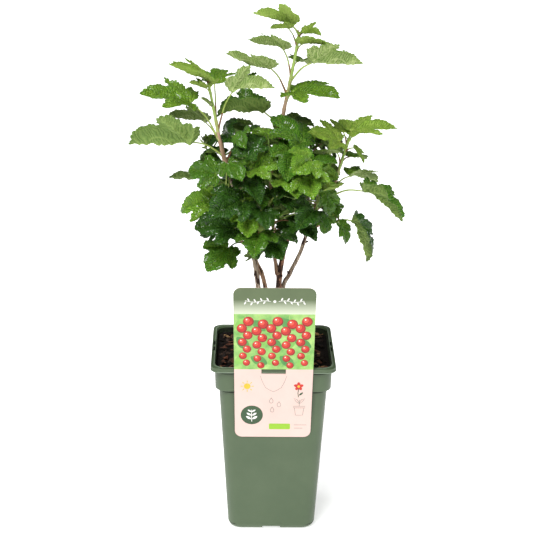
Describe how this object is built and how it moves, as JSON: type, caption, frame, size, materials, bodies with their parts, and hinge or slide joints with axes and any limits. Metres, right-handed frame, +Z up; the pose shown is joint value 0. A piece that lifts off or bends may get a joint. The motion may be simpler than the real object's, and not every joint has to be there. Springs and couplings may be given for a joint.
{
  "type": "potted currant bush",
  "caption": "Young currant bush with upright canes and lobed leaves, in a tall square nursery pot with a card label hung over its front rim.",
  "frame": {"origin": "middle of the pot's underside, on the pad in the centre of its foot", "axes": "+Z up along the pot's axis, -Y towards the label and the viewer, +X to the right seen from the label side"},
  "size_m": [0.2766, 0.1727, 0.5575],
  "materials": {
    "pot_plastic": "satin grey-green polypropylene",
    "soil": "rough moist bark compost",
    "label_card": "smooth printed card",
    "bark": "dull flaking young bark",
    "foliage": "leaves with a soft sheen, the older ones glossy"
  },
  "bodies": {
    "root": {"pot": "pot_plastic", "soil": "soil", "label_card": "label_card", "cane_left": "bark", "cane_back": "bark", "cane_middle": "bark", "cane_top": "bark", "cane_right": "bark", "shoot_left": "foliage", "shoot_top": "foliage", "shoot_right": "foliage", "foliage_left_back": "foliage", "foliage_left_front": "foliage", "foliage_left_low": "foliage", "foliage_middle_left": "foliage", "foliage_middle_front": "foliage", "foliage_middle_back": "foliage", "foliage_low_front": "foliage", "foliage_low_back": "foliage", "foliage_right_top": "foliage", "foliage_right_front": "foliage", "foliage_right_back": "foliage", "foliage_right_low": "foliage"}
  },
  "joints": []
}
